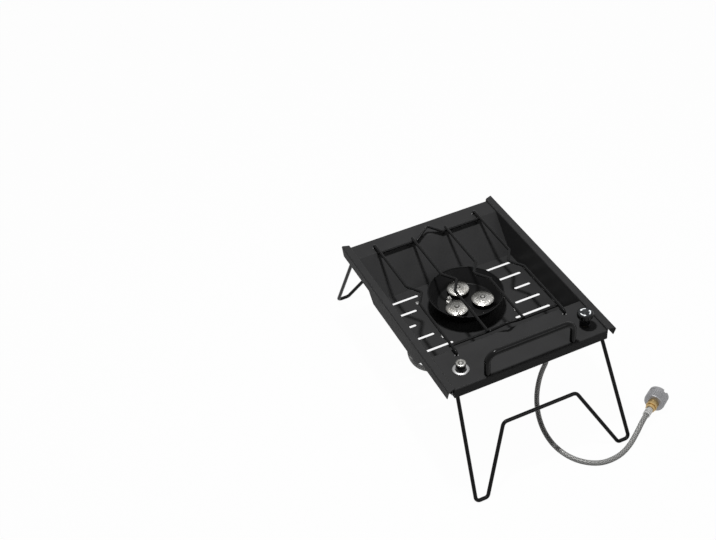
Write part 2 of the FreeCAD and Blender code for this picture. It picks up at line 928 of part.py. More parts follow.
def knob_disc():
    top = deck + knob_lift + knob_height
    return post(valve_x, valve_y, top - knob_disc_thickness, top, knob_disc_radius)


def igniter_barrel():
    x, y = igniter_x, igniter_y
    low = deck - barrel_depth
    body = post(x, y, low, deck + barrel_above, barrel_radius)
    bore = button_radius + button_clearance
    body = body.cut(post(x, y, low + barrel_base, deck + 2 * barrel_above, bore))
    return body.cut(post(x, y, low - 1, low + barrel_base + 1, terminal_radius))


def igniter_nut():
    z = deck - sheet - igniter_nut_height
    across = 2 * (barrel_radius + igniter_nut_rim)
    nut = hexagon(across, (igniter_x, igniter_y, z), Z_AXIS, igniter_nut_height)
    return nut.cut(post(igniter_x, igniter_y, z - 1, deck, barrel_radius))


def igniter_bezel():
    """A ring domed like a quarter ellipse, closed over the barrel's end to the button."""
    rim = barrel_radius + bezel_rim
    inner = button_radius + 2 * button_clearance
    skirt = bezel_height / 3
    over = deck + barrel_above
    profile = [
        (barrel_radius, deck),
        (rim, deck),
        (rim, deck + skirt),
    ]
    for degrees in (20, 40, 60, 75, 90):
        angle = math.radians(degrees)
        out = barrel_radius + bezel_rim * math.cos(angle)
        profile.append((out, deck + skirt + (bezel_height - skirt) * math.sin(angle)))
    profile += [
        (inner, deck + bezel_height - skirt / 2),
        (inner, over),
        (barrel_radius, over),
    ]
    return turned(profile, igniter_x, igniter_y)


def igniter_button():
    return post(igniter_x, igniter_y, deck + button_bottom, deck + button_top, button_radius)


def igniter_cap():
    z = deck + button_top
    radius = button_radius + cap_overhang
    profile = [
        (0, z),
        (radius, z),
        (radius, z + button_cap_height - button_cap_chamfer),
        (radius - button_cap_chamfer, z + button_cap_height),
        (radius * 0.55, z + button_cap_height),
        (radius * 0.5, z + button_cap_height - button_cap_dish),
        (0, z + button_cap_height - button_cap_dish),
    ]
    return turned(profile, igniter_x, igniter_y)


def igniter_spring():
    """The return spring's envelope under the button, inside the barrel."""
    low = deck - barrel_depth + barrel_base
    high = deck + button_bottom
    ring = post(igniter_x, igniter_y, low, high, spring_radius)
    return ring.cut(post(igniter_x, igniter_y, low, high, spring_radius - spring_wire))


def igniter_terminal():
    low = deck - barrel_depth
    ends = (low - terminal_length, low + barrel_base)
    return post(igniter_x, igniter_y, *ends, terminal_radius)


def handle():
    top = deck + handle_top
    points = [
        (-handle_half, handle_y, deck),
        (-handle_half, handle_y, top),
        (handle_half, handle_y, top),
        (handle_half, handle_y, deck),
    ]
    bar = tube(points, handle_bend, handle_bar / 2)
    hole = (deck - sheet, deck + handle_screw_depth, handle_screw_radius)
    return bar.cut([post(x, y, *hole) for x, y in handle_posts])


def handle_washers():
    rings = []
    for x, y in handle_posts:
        z1 = deck - sheet
        ring = post(x, y, z1 - washer_thickness, z1, washer_radius)
        rings.append(ring.cut(post(x, y, z1 - 5, z1 + 1, handle_screw_radius + hole_clearance)))
    return group(rings)


def handle_screws():
    seat = deck - sheet - washer_thickness
    reach = sheet + washer_thickness + handle_screw_depth - 2
    sizes = (handle_screw_radius, handle_screw_head, handle_screw_head_height, reach)
    return group([pan_screw(x, y, seat, *sizes, up=False) for x, y in handle_posts])


def supply_ends():
    port = deck - valve_port_drop
    start = (valve_x, valve_y + valve_radius + valve_outlet_length, port)
    end = (0.0, jet_front() - jet_length, manifold_axis)
    return start, end


def supply_tube():
    """The gas tube from the valve's outlet, down the recess wall, to the jet holder."""
    start, end = supply_ends()
    points = [
        start,
        (start[0], start[1] + 18, start[2]),
        (start[0] - 14, start[1] + 31, start[2]),
        (50, recess_front, start[2]),
        (18, recess_front + 6, start[2]),
        (4, recess_front + 17, start[2] - 8),
        (0, recess_front + 28, start[2] - 26),
        (0, recess_front + wall_run - 13, end[2]),
        end,
    ]
    return tube(points, route_radii(points), supply_radius, supply_radius - supply_wall)


def supply_nuts():
    """The union nuts at both ends of the gas tube, round the tube."""
    start, end = supply_ends()
    nuts = []
    for x, y, z in (start, (end[0], end[1] - supply_nut_length, end[2])):
        nut = hexagon(supply_nut_hex, (x, y, z), Y_AXIS, supply_nut_length)
        nuts.append(nut.cut(rod((x, y, z), (x, y + supply_nut_length, z), supply_radius)))
    return group(nuts)


def ignition_lead():
    """The lead from the igniter's terminal, along the recess wall, to the electrode."""
    low = deck - barrel_depth - terminal_length
    electrode_low = floor_underside - electrode_below - electrode_rod_below
    under = floor_underside - 7.5
    points = [
        (igniter_x, igniter_y, low),
        (igniter_x, igniter_y, low - 9),
        (igniter_x + 9, igniter_y + 8, low - 15),
        (igniter_x + 22, igniter_y + 18, low - 9),
        (igniter_x + 33, igniter_y + 27, low + 6),
        (-55, recess_front - 5, deck - 23),
        (-43, recess_front + 5, deck - 18),
        (-33, recess_front + 18, deck - 27),
        (-30, recess_front + 33, deck - 46),
        (-31, recess_front + 50, under),
        (-34, recess_mid - 54, under - 1),
        (-36, recess_mid - 28, under),
        (-37, recess_mid - 4, under - 1),
        (-33, electrode_y + 1, under - 7),
        (electrode_x, electrode_y, electrode_low - 9),
        (electrode_x, electrode_y, electrode_low),
    ]
    return tube(points, route_radii(points), lead_radius)


def connector_place(along, side=0.0, up=0.0):
    """A point of the cartridge connector, along its axis from the hose's end."""
    heading = math.radians(connector_heading)
    x = connector_start[0] + along * math.cos(heading) - side * math.sin(heading)
    y = connector_start[1] + along * math.sin(heading) + side * math.cos(heading)
    return (x, y, connector_start[2] + up)


# The hose's route: from the ferrule at the valve, over the folded front leg's crossbar, down
# between the leg's risers, round two turns on the floor and out past the right front foot.
hose_start = (
    valve_x - valve_radius - valve_inlet_length - hose_nut_length - ferrule_length,
    valve_y,
    deck - valve_port_drop,
)
beside_tray = half_width + 46.0
beside_foot = -half_length - 53.5
connector_start = (beside_tray, beside_foot, collar_radius)
wall_top = recess_front
hose_route = [
    hose_start,
    (28, hose_start[1], hose_start[2]),
    (3, wall_top - 41, hose_start[2] - 0.6),
    (-20, wall_top - 25.5, hose_start[2] - 1),
    (-37, wall_top - 5.5, 143.0),
    (-46, wall_top + 17, 134.0),
    (-51, wall_top + 34, 113.0),
    (-57, wall_top + 49, 89.0),
    (-64, wall_top + 67, 65.0),
    (-72, wall_top + 87, 42.0),
    (-79, wall_top + 111, 23.0),
    (-84, wall_top + 137, 9.5),
    (-84, 56, hose_floor),
    (-76, 81, hose_floor),
    (-57, 101, hose_floor),
    (-31, 111, hose_floor),
    (-3, 112, hose_floor),
    (25, 104, hose_floor),
    (52, 88, hose_floor),
    (77, 68, hose_floor),
    (100, 46, hose_floor),
    (118, 22, hose_floor),
    (126, -4, hose_floor),
    (122, -31, hose_floor),
    (108, -53, hose_floor),
    (86, -71, hose_floor),
    (64, -96, hose_floor),
    (47, -121, hose_floor),
    (32, -152, hose_floor),
    (23, -186, hose_floor),
    (23, -220, hose_floor),
    (36, -252, hose_floor),
    (62, -273, hose_floor),
    (92, -275, hose_floor),
    (beside_tray - 52, beside_foot - 32.5, hose_floor + 0.6),
    (beside_tray - 27, beside_foot - 17.5, hose_floor + 6.5),
    connector_place(-14.0),
    connector_place(0.0),
]


def gas_hose():
    radii = route_radii(hose_route)
    print("hose radii:", [round(r) for r in radii])
    runs = [(Vec(*b) - Vec(*a)).Length for a, b in zip(hose_route, hose_route[1:])]
    print("hose runs:", [round(r) for r in runs])
    path = Part.Wire(rounded_path(hose_route, radii))
    print("hose length:", round(path.Length))
    return tube(hose_route, radii, hose_radius)


def hose_nut():
    """The swivel nut that holds the hose to the valve's inlet."""
    z = deck - valve_port_drop
    x = valve_x - valve_radius - valve_inlet_length
    nut = hexagon(hose_nut_hex, (x, valve_y, z), Vec(-1, 0, 0), hose_nut_length)
    return nut.cut(rod((x + 1, valve_y, z), (x - hose_nut_length - 1, valve_y, z), hose_bore))


def hose_ferrule():
    z = deck - valve_port_drop
    x = valve_x - valve_radius - valve_inlet_length - hose_nut_length
    ring = rod((x, valve_y, z), (x - ferrule_length, valve_y, z), ferrule_radius)
    grooves = []
    for share in (0.3, 0.55, 0.8):
        at = x - ferrule_length * share
        ends = ((at, valve_y, z), (at - crimp_width, valve_y, z))
        groove = rod(*ends, ferrule_radius + 1)
        grooves.append(groove.cut(rod(*ends, ferrule_radius - crimp_depth)))
    return ring.cut(grooves)


def connector_ferrule():
    ring = rod(connector_place(0), connector_place(connector_ferrule_length), ferrule_radius)
    grooves = []
    for share in (0.2, 0.45, 0.7):
        at = connector_ferrule_length * share
        ends = (connector_place(at), connector_place(at + crimp_width))
        groove = rod(*ends, ferrule_radius + 1)
        grooves.append(groove.cut(rod(*ends, ferrule_radius - crimp_depth)))
    return ring.cut(grooves)


def connector_body():
    start = connector_ferrule_length
    end = start + connector_body_length
    step = start + connector_neck_length
    neck = rod(connector_place(start), connector_place(step), connector_neck_radius)
    body = rod(connector_place(step), connector_place(end), connector_body_radius)
    passage = rod(connector_place(step), connector_place(end), nozzle_bore)
    return neck.fuse(body).cut(passage).removeSplitter()


def connector_collar():
    """The cup that grips the cartridge, with three bayonet notches in its rim."""
    start = connector_ferrule_length + connector_body_length
    end = start + collar_length
    collar = rod(connector_place(start), connector_place(end), collar_radius)
    mouth = rod(connector_place(end - collar_bore_depth), connector_place(end + 1), collar_bore)
    cuts = [mouth, rod(connector_place(start - 1), connector_place(end), nozzle_radius)]
    axis = FreeCAD.Rotation(Z_AXIS, connector_heading).multVec(X_AXIS)
    for k in range(3):
        half = notch_width / 2
        notch = block(0, notch_depth, -half, half, collar_bore - 2, collar_radius + 2)
        notch.rotate(Vec(0, 0, 0), Z_AXIS, connector_heading)
        notch.translate(Vec(*connector_place(end - notch_depth + 0.5)))
        notch.rotate(Vec(*connector_place(start)), axis, 60 + 120 * k)
        cuts.append(notch)
    return collar.cut(cuts)


def connector_nozzle():
    start = connector_ferrule_length + connector_body_length
    tip = start + collar_length - collar_bore_depth + nozzle_length
    pin = rod(connector_place(start), connector_place(tip), nozzle_radius)
    return pin.cut(rod(connector_place(start), connector_place(tip + 1), nozzle_bore))


def connector_seal():
    seat = connector_ferrule_length + connector_body_length + collar_length - collar_bore_depth
    ends = (connector_place(seat), connector_place(seat + seal_thickness))
    return rod(*ends, seal_radius).cut(rod(*ends, nozzle_radius))


def build():
    save("tray", tray())
    leg = front_leg()
    nuts = front_leg_push_nuts()
    save("front_leg", leg)
    save("front_leg_push_nuts", nuts)
    save("rear_leg", mirrored_y(leg))
    save("rear_leg_push_nuts", mirrored_y(nuts))
    wires = {
        "grate_wire_outer_right": long_wire(grate_half_width, 1, "pins"),
        "grate_wire_inner_right": long_wire(grate_inner_half, 1, "free"),
        "grate_wire_inner_left": long_wire(-grate_inner_half, -1, "free"),
        "grate_wire_outer_left": long_wire(-grate_half_width, -1, "pins"),
    }
    for name, wire in wires.items():
        save(name, wire)
    cross = rear_cross_wire(list(wires.values()))
    save("grate_cross_wire_rear", cross)
    front_cross = mirrored_y(cross)
    front_cross.translate(Vec(0, 2 * recess_mid, 0))
    save("grate_cross_wire_front", front_cross)
    save("burner_cup", burner_cup())
    save("burner_spacers", burner_spacers())
    save("burner_bracket", burner_bracket())
    save("burner_bracket_screws", bracket_screw_set())
    save("burner_manifold", burner_manifold())
    for name in head_angles:
        save("burner_head_" + name, burner_head(name))
        save("burner_cap_" + name, burner_cap(name))
    save("mixing_tube", mixing_tube())
    save("gas_jet", gas_jet())
    save("electrode_insulator", electrode_insulator())
    save("electrode_rod", electrode_rod())
    save("ignition_lead", ignition_lead())
    save("valve_body", valve_body())
    save("valve_nut", valve_nut())
    save("valve_stem", valve_stem())
    save("valve_knob", knob())
    save("valve_knob_disc", knob_disc())
    save("igniter_barrel", igniter_barrel())
    save("igniter_nut", igniter_nut())
    save("igniter_bezel", igniter_bezel())
    save("igniter_button", igniter_button())
    save("igniter_cap", igniter_cap())
    save("igniter_spring", igniter_spring())
    save("igniter_terminal", igniter_terminal())
    save("handle", handle())
    save("handle_washers", handle_washers())
    save("handle_screws", handle_screws())
    save("gas_supply_tube", supply_tube())
    save("gas_supply_nuts", supply_nuts())
    save("hose_nut", hose_nut())
    save("hose_ferrule", hose_ferrule())
    save("gas_hose", gas_hose())
    save("connector_ferrule", connector_ferrule())
    save("connector_body", connector_body())
    save("connector_collar", connector_collar())
    save("connector_nozzle", connector_nozzle())
    save("connector_seal", connector_seal())
    print("deck height:", round(deck, 2), "pivot height:", round(pivot_z, 2))


build()
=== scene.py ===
import json
import math
import random

import bmesh
import bpy
from mathutils import Matrix, Vector


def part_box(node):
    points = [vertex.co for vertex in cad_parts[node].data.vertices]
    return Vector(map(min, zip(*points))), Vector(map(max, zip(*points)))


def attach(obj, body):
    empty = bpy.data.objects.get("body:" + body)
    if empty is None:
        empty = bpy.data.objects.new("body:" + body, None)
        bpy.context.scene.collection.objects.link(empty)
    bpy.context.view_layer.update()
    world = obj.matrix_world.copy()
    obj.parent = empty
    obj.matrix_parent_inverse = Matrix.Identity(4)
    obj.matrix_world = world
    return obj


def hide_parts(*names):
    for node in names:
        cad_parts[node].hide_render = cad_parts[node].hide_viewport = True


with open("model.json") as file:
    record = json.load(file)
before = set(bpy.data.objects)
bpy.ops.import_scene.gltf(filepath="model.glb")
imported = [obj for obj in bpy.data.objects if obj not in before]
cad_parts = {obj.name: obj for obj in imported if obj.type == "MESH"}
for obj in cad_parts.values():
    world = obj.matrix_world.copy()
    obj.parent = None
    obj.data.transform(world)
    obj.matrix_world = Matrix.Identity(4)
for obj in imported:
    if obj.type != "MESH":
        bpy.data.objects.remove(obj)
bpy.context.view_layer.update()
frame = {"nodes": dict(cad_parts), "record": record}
nodes = frame["nodes"]
scene = bpy.context.scene

MM = 0.001

# The camera, as the photograph has it: a long lens from the front left, tilted a little.
CAMERA_TARGET = Vector((-0.136935, 0.122151, 0.168829))
CAMERA_DISTANCE = 1.82327
CAMERA_AZIMUTH = -0.36579
CAMERA_ELEVATION = 0.70327
CAMERA_ROLL = -0.09374
CAMERA_LENS = 58.064
CAMERA_SENSOR = 36.0

# The grate: its wire, its crossings and the middle of the recess that it lies over.
RECESS_MID = 20 * MM
CROSS_FROM_MID = 120.5 * MM
GRATE_WIRE = 4.4 * MM
GRATE_LINES = (-90.5 * MM, -30 * MM, 30 * MM, 90.5 * MM)
BEAD_SIZE = (1.3 * MM, 2.1 * MM, 1.3 * MM)
BEAD_SWELL = 0.06

# The burner caps: their slits, and the foot ring that sits in the head.
SLITS = 40
SLIT_INNER = 10.2 * MM
SLIT_OUTER = 16.7 * MM
SLIT_DEPTH = 0.45 * MM
CAP_FOOT = 14.6 * MM
CAP_SEAT = 1.0 * MM
CAP_EDGE = 2.4 * MM
CAP_BOSS = 0.9 * MM

# The arrows on the knob: where each tail starts, in degrees, and how wide they are.
ARROW_TAILS = (53, 173, 293)
ARROW_SWEEP = 54
ARROW_RADIUS = 7.3 * MM
ARROW_HALF = 0.75 * MM
ARROW_HEAD = 2.0 * MM

# The hose's braid: turns of the strands a metre, and strands round the hose.
BRAID_TURNS = 180.0
BRAID_CARRIERS = 8.0

# The studio: the world's light on the object, and how much of the floor is plain white.
WORLD_LIGHT = 0.06
FLOOR_WHITE = 0.98
WIRE_SHEEN = 0.1

# The supply hose: its points in metres, from the ferrule under the valve to the connector.
HOSE_DIAMETER = 8 * MM
HOSE_FLOOR = 0.00405
HOSE_START = Vector((0.0587, -0.154, 0.144829))
CONNECTOR_START = Vector((0.171, -0.2335, 0.016))
CONNECTOR_HEADING = math.radians(32)
CONNECTOR_AXIS = Vector((math.cos(CONNECTOR_HEADING), math.sin(CONNECTOR_HEADING), 0))
HOSE_POINTS = [
    HOSE_START,
    (0.028, -0.154, 0.144829),
    (0.003, -0.148, 0.144229),
    (-0.020, -0.1325, 0.143829),
    (-0.037, -0.1125, 0.143),
    (-0.046, -0.090, 0.134),
    (-0.051, -0.073, 0.113),
    (-0.057, -0.058, 0.089),
    (-0.064, -0.040, 0.065),
    (-0.072, -0.020, 0.042),
    (-0.079, 0.004, 0.023),
    (-0.084, 0.030, 0.0095),
    (-0.084, 0.056, HOSE_FLOOR),
    (-0.076, 0.081, HOSE_FLOOR),
    (-0.057, 0.101, HOSE_FLOOR),
    (-0.031, 0.111, HOSE_FLOOR),
    (-0.003, 0.112, HOSE_FLOOR),
    (0.025, 0.104, HOSE_FLOOR),
    (0.052, 0.088, HOSE_FLOOR),
    (0.077, 0.068, HOSE_FLOOR),
    (0.100, 0.046, HOSE_FLOOR),
    (0.118, 0.022, HOSE_FLOOR),
    (0.126, -0.004, HOSE_FLOOR),
    (0.122, -0.031, HOSE_FLOOR),
    (0.108, -0.053, HOSE_FLOOR),
    (0.086, -0.071, HOSE_FLOOR),
    (0.064, -0.096, HOSE_FLOOR),
    (0.047, -0.121, HOSE_FLOOR),
    (0.032, -0.152, HOSE_FLOOR),
    (0.023, -0.186, HOSE_FLOOR),
    (0.023, -0.220, HOSE_FLOOR),
    (0.036, -0.252, HOSE_FLOOR),
    (0.062, -0.273, HOSE_FLOOR),
    (0.092, -0.275, HOSE_FLOOR),
    (0.119, -0.266, 0.00465),
    (0.144, -0.251, 0.01055),
    CONNECTOR_START - CONNECTOR_AXIS * 0.014,
    CONNECTOR_START,
]


class Shader:
    """A node material with a Principled shader, built a node at a time."""

    def __init__(self, name, color=(0.5, 0.5, 0.5), **sockets):
        self.material = bpy.data.materials.new(name)
        self.material.use_nodes = True
        self.tree = self.material.node_tree
        self.bsdf = self.tree.nodes["Principled BSDF"]
        self.bsdf.inputs["Base Color"].default_value = (*color, 1)
        for socket, value in sockets.items():
            self.bsdf.inputs[socket.replace("_", " ")].default_value = value
        self.space = self.add("ShaderNodeTexCoord").outputs["Object"]

    def add(self, kind, **settings):
        node = self.tree.nodes.new(kind)
        for key, value in settings.items():
            setattr(node, key, value)
        return node

    def link(self, source, target):
        self.tree.links.new(source, target)
        return target

    def noise(self, scale, detail=3.0, roughness=0.55, space=None):
        """A noise over the object's own space, with scale in waves per metre, or over another."""
        node = self.add("ShaderNodeTexNoise")
        node.inputs["Scale"].default_value = scale
        node.inputs["Detail"].default_value = detail
        node.inputs["Roughness"].default_value = roughness
        self.link(space or self.space, node.inputs["Vector"])
        return node.outputs["Fac"]

    def ramp(self, source, stops):
        """Grey stops, each a place from 0 to 1 and its grey."""
        node = self.add("ShaderNodeValToRGB")
        elements = node.color_ramp.elements
        while len(elements) < len(stops):
            elements.new(0.5)
        for element, (place, grey) in zip(elements, stops):
            element.position = place
            element.color = (grey, grey, grey, 1)
        self.link(source, node.inputs["Fac"])
        return node.outputs["Color"]

    def span(self, source, low, high, start=0.0, end=1.0):
        node = self.add("ShaderNodeMapRange")
        values = (start, end, low, high)
        for socket, value in zip(("From Min", "From Max", "To Min", "To Max"), values):
            node.inputs[socket].default_value = value
        self.link(source, node.inputs["Value"])
        return node.outputs["Result"]

    def maths(self, operation, first, second=None):
        node = self.add("ShaderNodeMath", operation=operation)
        for socket, value in zip(node.inputs, (first, second)):
            if isinstance(value, (int, float)):
                socket.default_value = value
            elif value is not None:
                self.link(value, socket)
        return node.outputs["Value"]

    def mix(self, share, first, second):
        node = self.add("ShaderNodeMix", data_type="RGBA")
        for socket, value in zip((node.inputs[0], node.inputs[6], node.inputs[7]), (share, first, second)):
            if isinstance(value, tuple):
                socket.default_value = (*value, 1)
            elif isinstance(value, (int, float)):
                socket.default_value = value
            else:
                self.link(value, socket)
        return node.outputs[2]

    def bump(self, height, distance, strength=1.0, before=None):
        node = self.add("ShaderNodeBump")
        node.inputs["Distance"].default_value = distance
        node.inputs["Strength"].default_value = strength
        self.link(height, node.inputs["Height"])
        if before:
            self.link(before, node.inputs["Normal"])
        return node.outputs["Normal"]

    def use(self, socket, source):
        self.link(source, self.bsdf.inputs[socket])

    def edges(self, radius):
        """Near 1 where the surface turns a sharp outer edge within the radius."""
        bevel = self.add("ShaderNodeBevel", samples=6)
        bevel.inputs["Radius"].default_value = radius
        geometry = self.add("ShaderNodeNewGeometry")
        dot = self.add("ShaderNodeVectorMath", operation="DOT_PRODUCT")
        self.link(bevel.outputs["Normal"], dot.inputs[0])
        self.link(geometry.outputs["Normal"], dot.inputs[1])
        return self.span(dot.outputs["Value"], 1.0, 0.0, 0.80, 0.995)


def powder_coat(name, color, roughness, grain, sheen):
    """A black powder coat: fine orange peel, faint mottling, a little dust, and lighter edges that are
    partly rubbed wear and partly a painted edge highlight.
    """
    s = Shader(name, color, Roughness=roughness, Specular_IOR_Level=sheen)
    light = tuple(c * 1.2 + 0.001 for c in color)
    base = s.mix(s.noise(22, 5), tuple(c * 0.85 for c in color), light)
    dust = s.span(s.noise(420, 2), 0.0, 0.03, 0.62, 0.8)
    base = s.mix(dust, base, (0.16, 0.155, 0.15))
    # Lighter sharp edges in patches: partly rubbed wear, partly a painted edge highlight.
    worn_and_highlit_edge = s.maths("MULTIPLY", s.edges(0.5 * MM), s.span(s.noise(160, 3), 0.0, 0.6, 0.45, 0.62))
    s.use("Base Color", s.mix(worn_and_highlit_edge, base, tuple(c * 2.0 + 0.02 for c in color)))
    s.use("Roughness", s.span(s.noise(60, 4), roughness - 0.05, roughness + 0.07))
    rounded = s.add("ShaderNodeBevel", samples=6)
    rounded.inputs["Radius"].default_value = 0.35 * MM
    s.use("Normal", s.bump(s.noise(grain, 2), 0.05 * MM, 0.25, rounded.outputs["Normal"]))
    return s.material


def metal(name, color, roughness, grain=500, wear=0.06, relief=0.5):
    """A bare metal with an uneven satin: grain is in waves per metre."""
    s = Shader(name, color, Roughness=roughness, Metallic=1.0)
    lines = s.noise(grain, 4, 0.6)
    dark = tuple(c * 0.6 for c in color)
    s.use("Base Color", s.mix(s.span(lines, 0, 1, 0.3, 0.7), dark, color))
    s.use("Roughness", s.span(s.noise(90, 4), roughness - wear, roughness + wear * 1.6))
    s.use("Normal", s.bump(lines, 0.02 * MM, relief))
    return s.material


def moulded(name, color, roughness, specular=0.4):
    s = Shader(name, color, Roughness=roughness, Specular_IOR_Level=specular)
    mottle = s.mix(s.noise(140, 4), tuple(c * 0.8 for c in color), tuple(c * 1.3 for c in color))
    s.use("Base Color", mottle)
    s.use("Roughness", s.span(s.noise(200, 3), roughness - 0.06, roughness + 0.08))
    s.use("Normal", s.bump(s.noise(1500, 2), 0.03 * MM, 0.3))
    return s.material


def heated_steel_with_painted_shade(name, centre):
    """Turned stainless steel round a centre: fine rings, radial streaks, soot and straw tints, with painted
    shade in dark rings round the boss and in the groove (the boss and rim left bright), and painted shade
    darkening the back half.
    """
    s = Shader(name, (0.6, 0.6, 0.58), Metallic=1.0, Roughness=0.26)
    shift = s.add("ShaderNodeVectorMath", operation="SUBTRACT")
    s.link(s.space, shift.inputs[0])
    shift.inputs[1].default_value = centre
    split = s.add("ShaderNodeSeparateXYZ")
    s.link(shift.outputs["Vector"], split.inputs["Vector"])
    x, y = split.outputs["X"], split.outputs["Y"]
    away = s.maths("SQRT", s.maths("ADD", s.maths("MULTIPLY", x, x), s.maths("MULTIPLY", y, y)))
    turn = s.maths("ARCTAN2", y, x)
    join = s.add("ShaderNodeCombineXYZ")
    s.link(turn, join.inputs["X"])
    s.link(s.maths("MULTIPLY", away, 60.0), join.inputs["Y"])
    streaks = s.noise(5.5, 3, 0.6, join.outputs["Vector"])
    specks = s.noise(950, 3, 0.7)
    streaked = s.mix(s.span(streaks, 0, 1, 0.38, 0.62), (0.42, 0.415, 0.39), (0.86, 0.85, 0.83))
    tint = s.mix(s.span(s.noise(70, 3), 0, 0.25, 0.5, 0.7), streaked, (0.5, 0.45, 0.36))
    soot = s.span(specks, 0.0, 0.75, 0.52, 0.66)
    soot_and_painted_shade = s.mix(soot, tint, (0.07, 0.067, 0.06))
    # Painted shade: dark rings round the boss and in the ring groove and a faint darkening between, with
    # the boss and the rim left bright.
    zone = s.span(away, 0.0, 1.0, 0.0, 18 * MM)
    stops = [(0.0, 0.0), (0.12, 0.0), (0.15, 0.9), (0.23, 0.8), (0.27, 0.05), (0.32, 0.1), (0.37, 0.6)]
    stops += [(0.42, 0.2), (0.60, 0.1), (0.90, 0.15), (0.95, 0.0)]
    soot_and_painted_shade = s.mix(s.ramp(zone, stops), soot_and_painted_shade, (0.04, 0.04, 0.036))
    # Painted shade: the back half of the steel is darker than the front.
    painted_shade_behind = s.span(y, 0.0, 0.82, -10 * MM, 9 * MM)
    s.use("Base Color", s.mix(painted_shade_behind, soot_and_painted_shade, (0.06, 0.06, 0.054)))
    s.use("Roughness", s.span(specks, 0.2, 0.42, 0.4, 0.65))
    rings = s.maths("SINE", s.maths("MULTIPLY", away, 2 * math.pi / (0.45 * MM)))
    s.use("Normal", s.bump(rings, 0.02 * MM, 0.5))
    return s.material


def braid_material():
    """Steel braid: two crossing sets of strands in the tube's own map, in metres."""
    s = Shader("steel_braid", (0.3, 0.3, 0.29), Metallic=0.15, Specular_IOR_Level=0.15)
    uv = s.add("ShaderNodeUVMap", uv_map="along").outputs["UV"]
    split = s.add("ShaderNodeSeparateXYZ")
    s.link(uv, split.inputs["Vector"])
    along, around = split.outputs["X"], split.outputs["Y"]
    waves = []
    for sign in (1, -1):
        twist = s.maths("MULTIPLY", along, sign * BRAID_TURNS)
        phase = s.maths("ADD", twist, s.maths("MULTIPLY", around, BRAID_CARRIERS))
        waves.append(s.maths("SINE", s.maths("MULTIPLY", phase, 2 * math.pi)))
    weave = s.maths("MAXIMUM", waves[0], waves[1])
    strands = s.maths("MULTIPLY", waves[0], waves[1])
    shade = s.span(weave, 0, 1, -0.4, 0.9)
    s.use("Base Color", s.mix(shade, (0.05, 0.05, 0.05), (0.34, 0.34, 0.33)))
    s.use("Roughness", s.span(strands, 0.28, 0.45, -1, 1))
    s.use("Normal", s.bump(weave, 0.25 * MM, 0.6))
    return s.material


def smooth_line(name, points):
    """The cord's own line: a quadratic spline whose control points are the route's points."""
    curve = bpy.data.curves.new(name, "CURVE")
    curve.dimensions = "3D"
    curve.resolution_u = 12
    spline = curve.splines.new("NURBS")
    spline.points.add(len(points) - 1)
    for point, place in zip(spline.points, points):
        point.co = (*place, 1)
    spline.order_u = 3
    spline.use_endpoint_u = True
    line = bpy.data.objects.new(name, curve)
    scene.collection.objects.link(line)
    bpy.context.view_layer.update()
    mesh = bpy.data.meshes.new_from_object(line)
    path = [vertex.co.copy() for vertex in mesh.vertices]
    bpy.data.meshes.remove(mesh)
    bpy.data.objects.remove(line)
    bpy.data.curves.remove(curve)
    return path


def even_line(path, step):
    """The same line with its points a step apart."""
    lengths = [0.0]
    for a, b in zip(path, path[1:]):
        lengths.append(lengths[-1] + (b - a).length)
    count = max(2, round(lengths[-1] / step))
    points = []
    k = 0
    for n in range(count + 1):
        at = lengths[-1] * n / count
        while k < len(path) - 2 and lengths[k + 1] < at:
            k += 1
        share = (at - lengths[k]) / (lengths[k + 1] - lengths[k])
        points.append(path[k].lerp(path[k + 1], min(1.0, max(0.0, share))))
    return points, lengths[-1]


def sides(path):
    """A steady pair of side vectors at each point of a line."""
    frames = []
    side = None
    for k, point in enumerate(path):
        ahead = path[min(k + 1, len(path) - 1)] - path[max(k - 1, 0)]
        ahead.normalize()
        if side is None:
            side = ahead.orthogonal().normalized()
        side = (side - ahead * side.dot(ahead)).normalized()
        frames.append((point, side.copy(), ahead.cross(side)))
    return frames


def tube_mesh(name, path, radius, rings=20, length=1.0):
    """A closed tube along a line, with a map of metres along and turns around."""
    bm = bmesh.new()
    uv = bm.loops.layers.uv.new("along")
    frames = sides(path)
    loops = []
    for point, u, v in frames:
        ring = []
        for k in range(rings):
            angle = 2 * math.pi * k / rings
            ring.append(bm.verts.new(point + (u * math.cos(angle) + v * math.sin(angle)) * radius))
        loops.append(ring)
    for j in range(len(loops) - 1):
        for k in range(rings):
            n = (k + 1) % rings
            face = bm.faces.new((loops[j][k], loops[j][n], loops[j + 1][n], loops[j + 1][k]))
            face.smooth = True
            corners = ((j, k), (j, k + 1), (j + 1, k + 1), (j + 1, k))
            for loop, (a, b) in zip(face.loops, corners):
                loop[uv].uv = (length * a / (len(loops) - 1), b / rings)
    bm.faces.new(list(reversed(loops[0])))
    bm.faces.new(loops[-1])
    bmesh.ops.recalc_face_normals(bm, faces=bm.faces)
    mesh = bpy.data.meshes.new(name)
    bm.to_mesh(mesh)
    bm.free()
    piece = bpy.data.objects.new(name, mesh)
    scene.collection.objects.link(piece)
    return piece


def dress(piece, material):
    piece.data.materials.clear()
    piece.data.materials.append(material)


def mesh_piece(name, bm, material, body, smooth_angle=35):
    """A new piece from a bmesh, smooth but for its sharp edges, riding a body."""
    bmesh.ops.recalc_face_normals(bm, faces=bm.faces)
    for face in bm.faces:
        face.smooth = True
    for edge in bm.edges:
        if len(edge.link_faces) == 2:
            edge.smooth = edge.calc_face_angle() < math.radians(smooth_angle)
    mesh = bpy.data.meshes.new(name)
    bm.to_mesh(mesh)
    bm.free()
    piece = bpy.data.objects.new(name, mesh)
    scene.collection.objects.link(piece)
    dress(piece, material)
    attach(piece, body)
    return piece


